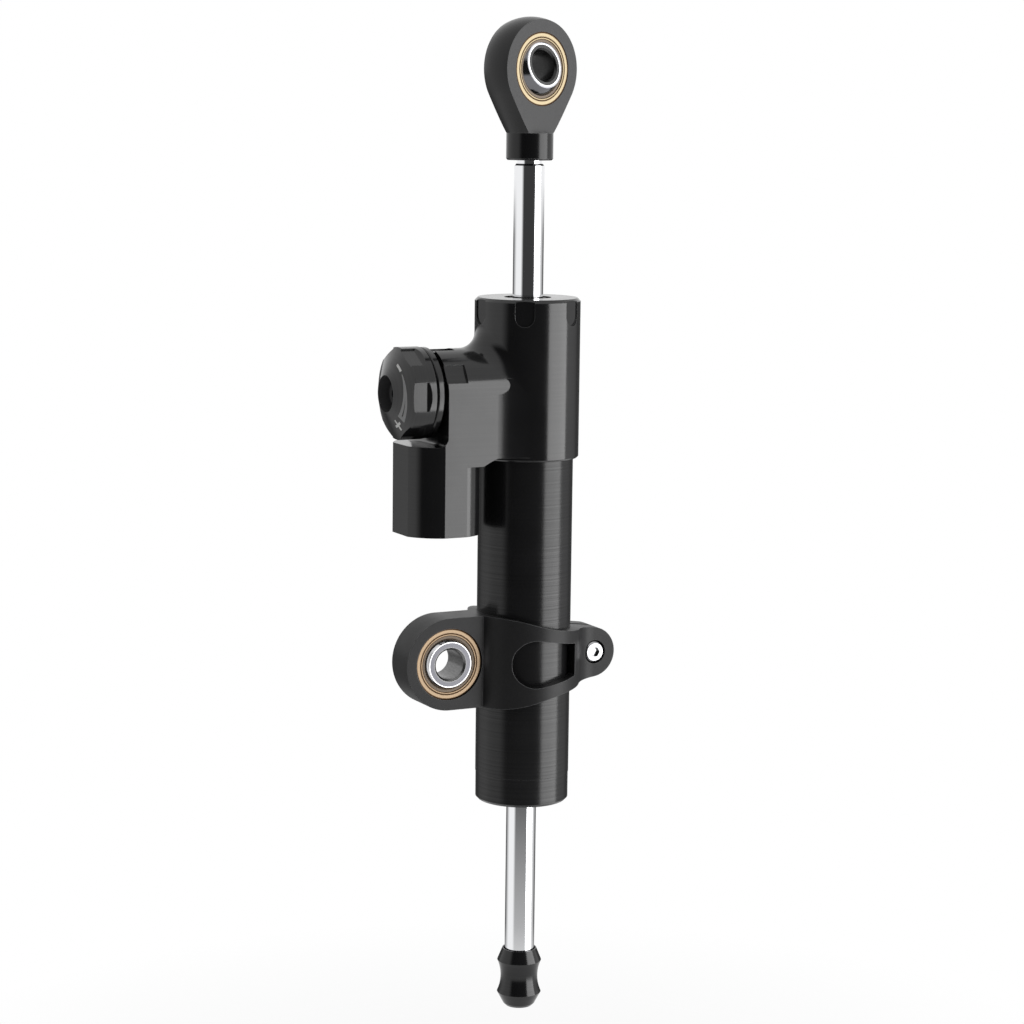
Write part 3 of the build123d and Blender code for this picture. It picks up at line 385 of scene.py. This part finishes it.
def turned_about(name, color, roughness, centre, axis, grain=0.1 * MM, depth=0.0006 * MM, shade=0.85):
    """Metal turned about its own axis: lines at steady radius."""
    made = Material(name, color, roughness, metallic=1.0)
    made.soften(0.1 * MM)
    rings = made.lines(made.radius_about(centre, axis), grain)
    cloud = made.noise(4 * MM)
    made.bump(rings, depth)
    dark = tuple(c * shade for c in color)
    return made.set(
        roughness=made.spread(cloud, roughness * 0.85, roughness * 1.2),
        base_color=made.tint(made.spread(rings, 0, 1), dark, color),
    )


def race_gold(name, centre, axis, color):
    """Bearing race: pale gold face, with painted shade as a brown ring at its seat, and brown lines at its
    mouth and near the mouth.
    """
    made = Material(name, color, 0.42, metallic=1.0)
    made.soften(0.15 * MM)
    radius = made.radius_about(centre, axis)
    rings = made.lines(radius, 0.3 * MM)
    made.bump(rings, 0.004 * MM)
    dark = tuple(c * 0.7 for c in color)
    face = made.tint(made.spread(rings, 0, 1), dark, color)
    brown = (0.03, 0.016, 0.008)
    # Painted shade: brown ring at the outer edge, where the race sits in its housing
    seat = made.step(radius, RACE_R - 0.5 * MM, RACE_R - 0.3 * MM)
    mouth = made.step(radius, RACE_MOUTH_R + 0.25 * MM, RACE_MOUTH_R + 0.1 * MM)
    from_line = made.math("ABSOLUTE", made.math("SUBTRACT", radius, RACE_MOUTH_R + 0.6 * MM))
    line = made.step(from_line, 0.26 * MM, 0.12 * MM)
    seat_shade_and_lines = made.math("MAXIMUM", made.math("MAXIMUM", seat, mouth), line)
    return made.set(
        roughness=made.spread(rings, 0.36, 0.5),
        base_color=made.tint(seat_shade_and_lines, face, brown),
    )


def ball_steel(name, centre, axis, bore, bore_to, face, face_to, outside):
    """Bearing ball of one steel, with painted light and shade as the tones of its bore, its flat face and
    its round outside.
    """
    made = Material(name, outside, 0.12, metallic=1.0)
    made.soften(0.12 * MM)
    radius = made.radius_about(centre, axis)
    rings = made.lines(radius, 0.15 * MM)
    streaks = made.noise(0.5 * MM, stretch=(3, 0.3, 3))
    made.bump(rings, 0.0006 * MM)
    # Painted light and shade: each zone gets the tone it showed under the light
    in_face = made.step(radius, bore_to, bore_to + 0.1 * MM)
    past_face = made.step(radius, face_to, face_to + 0.1 * MM)
    dark = tuple(c * 0.6 for c in bore)
    streaked_bore = made.tint(made.spread(streaks, 0, 1), dark, bore)
    flat = made.tint(in_face, streaked_bore, face)
    return made.set(
        roughness=made.between(past_face, 0.28, made.spread(rings, 0.08, 0.14)),
        base_color=made.tint(past_face, flat, outside),
    )


def plain(name, dark, light, roughness, grain, depth, specular=0.5):
    """Plastic or rubber with a fine moulded grain."""
    made = Material(name, light, roughness, specular=specular)
    noise = made.noise(grain)
    made.bump(noise, depth)
    return made.set(
        roughness=made.spread(noise, roughness * 0.9, roughness * 1.1),
        base_color=made.tint(noise, dark, light),
    )


def dress(material, *nodes):
    """Puts a material on CAD nodes in place of the frame's plain one."""
    for name in nodes:
        mesh = frame["nodes"][name].data
        mesh.materials.clear()
        mesh.materials.append(material)


# Axes of the bores: the rod end is turned about the rod, and its ball leans in it
clamp_bore_axis = (0, 1, 0)
rod_bore_axis = (sin(radians(ROD_END_TURN)), -cos(radians(ROD_END_TURN)), 0)
rod_ball_axis = (
    rod_bore_axis[0] * cos(radians(ROD_BALL_LEAN)),
    rod_bore_axis[1] * cos(radians(ROD_BALL_LEAN)),
    sin(radians(ROD_BALL_LEAN)),
)


def dress_black_pieces():
    """Anodised and blackened pieces."""
    dress(
        turned_black("turned_black_head", roughness=0.14, specular=0.46, depth=0.0004 * MM),
        "head_housing", "upper_gland", "reservoir_plug",
    )
    dress(
        turned_black("turned_black_tube", roughness=0.2, specular=0.34, depth=0.0012 * MM, streaks=0.22),
        "outer_tube", "lower_gland",
    )
    dress(turned_black("turned_black_bumper", roughness=0.16, specular=0.42, depth=0.0006 * MM), "bumper")
    dress(
        turned_black(
            "turned_black_knob", roughness=0.15, specular=0.46, depth=0.0005 * MM, along="X",
            recess=(knob_axis, (1, 0, 0), KNOB_RECESS_R),
        ),
        "knob", "detent_ring",
    )
    dress(
        satin_black(
            "satin_black_clamp", dark=(0.007, 0.007, 0.0073), light=(0.013, 0.013, 0.0135),
            roughness=0.4, specular=0.2, grain=0.25 * MM, depth=0.008 * MM,
        ),
        "clamp",
    )
    dress(
        rod_end_black(
            "rod_end_black", neck_top=rod_end_low + ROD_END_NECK,
            centre=rod_bearing, axis=rod_bore_axis, half=ROD_END_HALF,
        ),
        "rod_end",
    )
    dress(
        plain(
            "blackened_steel", dark=(0.02, 0.02, 0.0205), light=(0.03, 0.03, 0.0308),
            roughness=0.6, grain=0.3 * MM, depth=0.004 * MM, specular=0.2,
        ),
        "knob_screw",
    )


def dress_bearings():
    """Balls, races and liners of the two spherical bearings."""
    # Painted light and shade: the tones given for each ball's bore, face and outside
    dress(
        ball_steel(
            "ball_steel_clamp", clamp_bearing, clamp_bore_axis,
            bore=(0.2, 0.2, 0.2), bore_to=4.6 * MM,
            face=(0.1, 0.1, 0.11), face_to=5.8 * MM,
            outside=(0.62, 0.62, 0.63),
        ),
        "clamp_ball",
    )
    dress(
        ball_steel(
            "ball_steel_rod_end", rod_bearing, rod_ball_axis,
            bore=(0.05, 0.05, 0.05), bore_to=5.3 * MM,
            face=(0.7, 0.7, 0.7), face_to=5.55 * MM,
            outside=(0.16, 0.16, 0.17),
        ),
        "rod_end_ball",
    )
    dress(race_gold("race_gold_clamp", clamp_bearing, clamp_bore_axis, (0.3, 0.22, 0.145)), "clamp_race")
    dress(race_gold("race_gold_rod_end", rod_bearing, rod_bore_axis, (0.34, 0.28, 0.18)), "rod_end_race")
    dress(
        plain(
            "bearing_bronze", dark=(0.075, 0.045, 0.02), light=(0.14, 0.09, 0.045),
            roughness=0.4, grain=0.2 * MM, depth=0.004 * MM,
        ),
        "clamp_liner", "rod_end_liner",
    )


def dress_bright_pieces():
    """Chrome, steel, aluminium and brass."""
    dress(polished("rod_chrome", (0.88, 0.885, 0.9), roughness=0.06), "rod")
    dress(
        turned_about(
            "screw_steel", (0.42, 0.42, 0.43), roughness=0.16,
            centre=clamp_screw_axis, axis=clamp_bore_axis, grain=0.35 * MM, shade=0.6,
        ),
        "clamp_screw",
    )
    dress(
        polished("bright_steel", (0.7, 0.7, 0.7), roughness=0.18, along="Y", grain=0.15 * MM),
        "detent_ball", "detent_spring", "reservoir_clip", "upper_rod_clip", "lower_rod_clip",
        "compensator_spring", "inner_cylinder", "adjuster_spindle", "needle",
    )
    dress(
        polished("bare_aluminium", (0.6, 0.6, 0.62), roughness=0.25),
        "piston", "adjuster_bush", "compensator_piston",
    )
    dress(
        polished("valve_brass", (0.65, 0.48, 0.22), roughness=0.22, along="X"),
        "valve_seat", "needle_guide",
    )


def dress_soft_pieces():
    """Plastic guides and rubber seals."""
    dress(
        plain(
            "bearing_plastic", dark=(0.03, 0.028, 0.025), light=(0.05, 0.047, 0.042),
            roughness=0.4, grain=0.2 * MM, depth=0.004 * MM,
        ),
        "upper_guide_bush", "lower_guide_bush", "piston_band",
    )
    dress(
        plain(
            "black_rubber", dark=(0.008, 0.008, 0.008), light=(0.014, 0.014, 0.014),
            roughness=0.6, grain=0.25 * MM, depth=0.01 * MM,
        ),
        "upper_rod_wiper", "lower_rod_wiper", "upper_rod_seal", "lower_rod_seal", "upper_gland_ring",
        "lower_gland_ring", "reservoir_plug_ring", "adjuster_bush_ring", "adjuster_spindle_ring",
        "compensator_ring",
    )


# Marks on the knob's cone: a swelling arc from soft to hard, and a sign at each end
KNOB_R = 12.0 * MM
KNOB_CONE = 3.35 * MM  # depth of the cone from the recess to the rim
MARK_THICK = 0.04 * MM
ARC_R = 8.5 * MM
ARC_FROM = 41.0  # degrees above level, on the -Y side
ARC_TO = -45.0
ARC_STEPS = 40
ARC_THIN = 0.12 * MM  # half the arc's width where it starts
ARC_SWELL = 1.0 * MM  # what half the width grows by
SLIT_SWELL = 0.55 * MM  # what half the slit between the arcs would grow by over their whole length
SLIT_FROM = 0.5  # shares of the arc's length
SLIT_TO = 0.94
SLIT_CLOSING = 8  # times as fast as it opens
SIGN_LONG = 2.8 * MM
SIGN_STROKE = 0.6 * MM
SOFT_SIGN_ANGLE = 57.0
SOFT_SIGN_R = 8.5 * MM
HARD_SIGN_ANGLE = -62.0
HARD_SIGN_R = 8.7 * MM


def on_cone(radius, angle):
    """Point of the knob's cone at this distance from its axis and angle above level."""
    depth = KNOB_CONE * (radius - KNOB_RECESS_R) / (KNOB_R - KNOB_RECESS_R)
    return Vector((
        knob_nose + depth,
        knob_axis.y - radius * cos(radians(angle)),
        knob_axis.z + radius * sin(radians(angle)),
    ))


def cone_normal(angle):
    """Direction out of the knob's cone at this angle above level."""
    across = -KNOB_CONE * cos(radians(angle))
    up = KNOB_CONE * sin(radians(angle))
    return Vector((-(KNOB_R - KNOB_RECESS_R), across, up)).normalized()


def raised_strip(name, rows, material):
    """Thin plate on the cone between two rows of (radius, angle) points."""
    shape = bmesh.new()
    rings = []
    for inner, outer in rows:
        low = on_cone(*inner)
        high = on_cone(*outer)
        lift = cone_normal((inner[1] + outer[1]) / 2) * MARK_THICK
        corners = (low - lift / 4, high - lift / 4, high + lift, low + lift)
        rings.append([shape.verts.new(corner) for corner in corners])
    for ring, after in zip(rings, rings[1:]):
        for corner in range(4):
            turn = (corner + 1) % 4
            shape.faces.new((ring[corner], ring[turn], after[turn], after[corner]))
    shape.faces.new(rings[0][::-1])
    shape.faces.new(rings[-1])
    bmesh.ops.recalc_face_normals(shape, faces=shape.faces)
    mesh = bpy.data.meshes.new(name)
    shape.to_mesh(mesh)
    shape.free()
    mesh.materials.append(material)
    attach(add(name, mesh), "knob")


def make_arcs(material):
    """Two arcs side by side that swell towards hard, with a slit between them."""
    outer = []
    inner = []
    for step in range(ARC_STEPS + 1):
        share = step / ARC_STEPS
        angle = ARC_FROM + (ARC_TO - ARC_FROM) * share
        half_width = ARC_THIN + ARC_SWELL * share
        slit = max(0.0, min(share - SLIT_FROM, SLIT_CLOSING * (SLIT_TO - share))) * SLIT_SWELL
        outer.append(((ARC_R + slit, angle), (ARC_R + half_width, angle)))
        inner.append(((ARC_R - half_width, angle), (ARC_R - slit, angle)))
    raised_strip("arc_outer", outer, material)
    raised_strip("arc_inner", inner, material)


def make_bar(name, material, angle, radius, around, outwards):
    """One bar of a sign, this long around the axis and this wide outwards."""
    half_angle = degrees(around / 2 / radius)
    rows = []
    for step in (-1, 0, 1):
        row_angle = angle + step * half_angle
        rows.append(((radius - outwards / 2, row_angle), (radius + outwards / 2, row_angle)))
    raised_strip(name, rows, material)


def make_marks():
    """Etched arcs, a painted minus at the soft end and a plus at the hard end."""
    etched = plain(
        "mark_etched", dark=(0.13, 0.13, 0.13), light=(0.28, 0.28, 0.28),
        roughness=0.5, grain=0.3 * MM, depth=0.003 * MM,
    )
    paint = plain(
        "mark_paint", dark=(0.5, 0.5, 0.49), light=(0.68, 0.68, 0.67),
        roughness=0.5, grain=0.3 * MM, depth=0.003 * MM,
    )
    make_arcs(etched)
    make_bar("soft_sign_0", paint, SOFT_SIGN_ANGLE, SOFT_SIGN_R, SIGN_LONG, SIGN_STROKE)
    make_bar("hard_sign_0", paint, HARD_SIGN_ANGLE, HARD_SIGN_R, SIGN_LONG, SIGN_STROKE)
    make_bar("hard_sign_1", paint, HARD_SIGN_ANGLE, HARD_SIGN_R, SIGN_STROKE, SIGN_LONG)


# Studio: a tall softbox at the right, white surroundings, and dark flags that only reflections see
SOFTBOX_ASIDE = 71  # degrees right of the camera
SOFTBOX_DISTANCE = 0.6
SOFTBOX_WIDTH = 0.52
SOFTBOX_HEIGHT = 0.8
SOFTBOX_RADIANCE = 4.2
SURROUND = 0.5  # level of the surroundings for matt surfaces
FLAG_DISTANCE = 2.0
FLAG_ROWS = 12
FLAG_COLUMNS = 48
WHITE = (1.0, 1.0, 1.0)

foot = Vector((rod_axis.x, rod_axis.y, 0))


def aside(angle):
    """Level direction this many degrees right of the camera's, seen from the damper."""
    return towards_camera * cos(radians(angle)) + camera_right * sin(radians(angle))


def make_softbox():
    """Tall lamp whose mirror image is the bright band on the right of each round piece."""
    data = bpy.data.lights.new("softbox", "AREA")
    data.shape = "RECTANGLE"
    data.size = SOFTBOX_WIDTH
    data.size_y = SOFTBOX_HEIGHT
    data.energy = pi * SOFTBOX_WIDTH * SOFTBOX_HEIGHT * SOFTBOX_RADIANCE
    lamp = add("softbox", data)
    lamp.location = foot + aside(SOFTBOX_ASIDE) * SOFTBOX_DISTANCE
    lamp.rotation_mode = "QUATERNION"
    lamp.rotation_quaternion = (foot - lamp.location).to_track_quat("-Z", "Y")


def make_world():
    """Plain grey light for matt surfaces, white for all that shows the background."""
    world = bpy.data.worlds.new("studio")
    bpy.context.scene.world = world
    world.use_nodes = True
    world.node_tree.nodes.clear()
    made = Nodes(world.node_tree)
    background = made.node("ShaderNodeBackground")
    made.link(made.tint(made.shown(), (SURROUND,) * 3, WHITE), background, "Color")
    made.link(background.outputs[0], made.node("ShaderNodeOutputWorld"), "Surface")


def curved_sheet(name, centre_angle, half, low, high):
    """Upright sheet on a circle round the damper, from low to high in degrees above level."""
    shape = bmesh.new()
    grid = []
    for row in range(FLAG_ROWS + 1):
        rise = low + (high - low) * row / FLAG_ROWS
        height = FLAG_DISTANCE * sin(radians(rise)) / cos(radians(rise))
        line = []
        for column in range(FLAG_COLUMNS + 1):
            turn = centre_angle - half + 2 * half * column / FLAG_COLUMNS
            place = foot + aside(turn) * FLAG_DISTANCE + Vector((0, 0, height))
            line.append(shape.verts.new(place))
        grid.append(line)
    for below, above in zip(grid, grid[1:]):
        for column in range(FLAG_COLUMNS):
            corners = (below[column], below[column + 1], above[column + 1], above[column])
            shape.faces.new(corners)
    mesh = bpy.data.meshes.new(name)
    shape.to_mesh(mesh)
    shape.free()
    return mesh


def make_flag(name, tone, centre_angle, full_half, edge_half, low, low_fade, high, high_fade):
    """Dark flag, solid out to full_half degrees and gone at edge_half; heights fade likewise."""
    made = Material(name, (0.02, 0.02, 0.02), 1.0, specular=0.0)
    offset = made.vector("SUBTRACT", made.place, foot)
    level = made.vector("NORMALIZE", made.vector("MULTIPLY", offset, (1, 1, 0)))
    cosine = made.vector("DOT_PRODUCT", level, aside(centre_angle), "Value")
    turned = made.math("ARCCOSINE", cosine)
    rise = made.math("ARCTANGENT", made.math("DIVIDE", made.parts_of(offset)["Z"], FLAG_DISTANCE))
    solid = made.step(turned, radians(edge_half), radians(full_half))
    solid = made.math("MULTIPLY", solid, made.step(rise, radians(low), radians(low_fade)))
    solid = made.math("MULTIPLY", solid, made.step(rise, radians(high), radians(high_fade)))
    clear = made.node("ShaderNodeBsdfTransparent")
    cloth = made.node("ShaderNodeEmission")
    cloth.inputs["Strength"].default_value = tone
    mix = made.node("ShaderNodeMixShader")
    made.link(solid, mix, 0)
    made.link(clear.outputs[0], mix, 1)
    made.link(cloth.outputs[0], mix, 2)
    made.link(mix.outputs[0], made.tree.nodes["Material Output"], "Surface")
    flag = add(name, curved_sheet(name, centre_angle, edge_half, low, high))
    flag.data.materials.append(made.material)
    flag.visible_camera = False
    flag.visible_diffuse = False
    flag.visible_transmission = False
    flag.visible_shadow = False
    flag.visible_volume_scatter = False


FLOOR_R = 0.2
FLOOR_FADE = 0.1
FLOOR_SEGMENTS = 96
FLOOR_CLEARANCE = 3 * MM
FLOOR_WHITE = 0.9  # share of plain white in what shows the background, the rest keeps the shadow


def make_floor():
    """A round pale floor under the lowest reach of the rod, fading out at its edge."""
    slide = next(joint for joint in frame["joints"] if joint["name"] == "rod_slide")
    mesh = bpy.data.meshes.new("floor")
    shape = bmesh.new()
    bmesh.ops.create_circle(shape, cap_ends=True, radius=FLOOR_R, segments=FLOOR_SEGMENTS)
    shape.to_mesh(mesh)
    shape.free()
    floor = add("floor", mesh)
    floor.location = (rod_axis.x, rod_axis.y, cad_low.z + slide["range_m"][0] - FLOOR_CLEARANCE)
    made = Material("floor_paper", (0.8, 0.8, 0.8), 0.9, specular=0.1)
    grain = made.noise(2 * MM)
    made.set(base_color=made.tint(grain, (0.78, 0.78, 0.78), (0.82, 0.82, 0.82)))
    glow = made.node("ShaderNodeEmission")
    paper = made.node("ShaderNodeMixShader")
    made.link(made.math("MULTIPLY", made.shown(), FLOOR_WHITE), paper, 0)
    made.link(made.shader.outputs[0], paper, 1)
    made.link(glow.outputs[0], paper, 2)
    radius = made.radius_about((0, 0, 0), (0, 0, 1))
    whole = made.node("ShaderNodeMixShader")
    made.link(made.step(radius, FLOOR_FADE, FLOOR_R), whole, 0)
    made.link(paper.outputs[0], whole, 1)
    made.link(made.node("ShaderNodeBsdfTransparent").outputs[0], whole, 2)
    made.link(whole.outputs[0], made.tree.nodes["Material Output"], "Surface")
    mesh.materials.append(made.material)


dress_black_pieces()
dress_bearings()
dress_bright_pieces()
dress_soft_pieces()
make_marks()
make_camera()
make_softbox()
make_world()
make_flag(
    "camera_flag", tone=0.045, centre_angle=0, full_half=40, edge_half=57,
    low=-24, low_fade=-14.5, high=45, high_fade=30,
)
make_flag(
    "back_flag", tone=0.11, centre_angle=180, full_half=38, edge_half=80,
    low=-35, low_fade=-25, high=2, high_fade=0.5,
)
make_floor()
bpy.context.scene.view_settings.view_transform = "Standard"
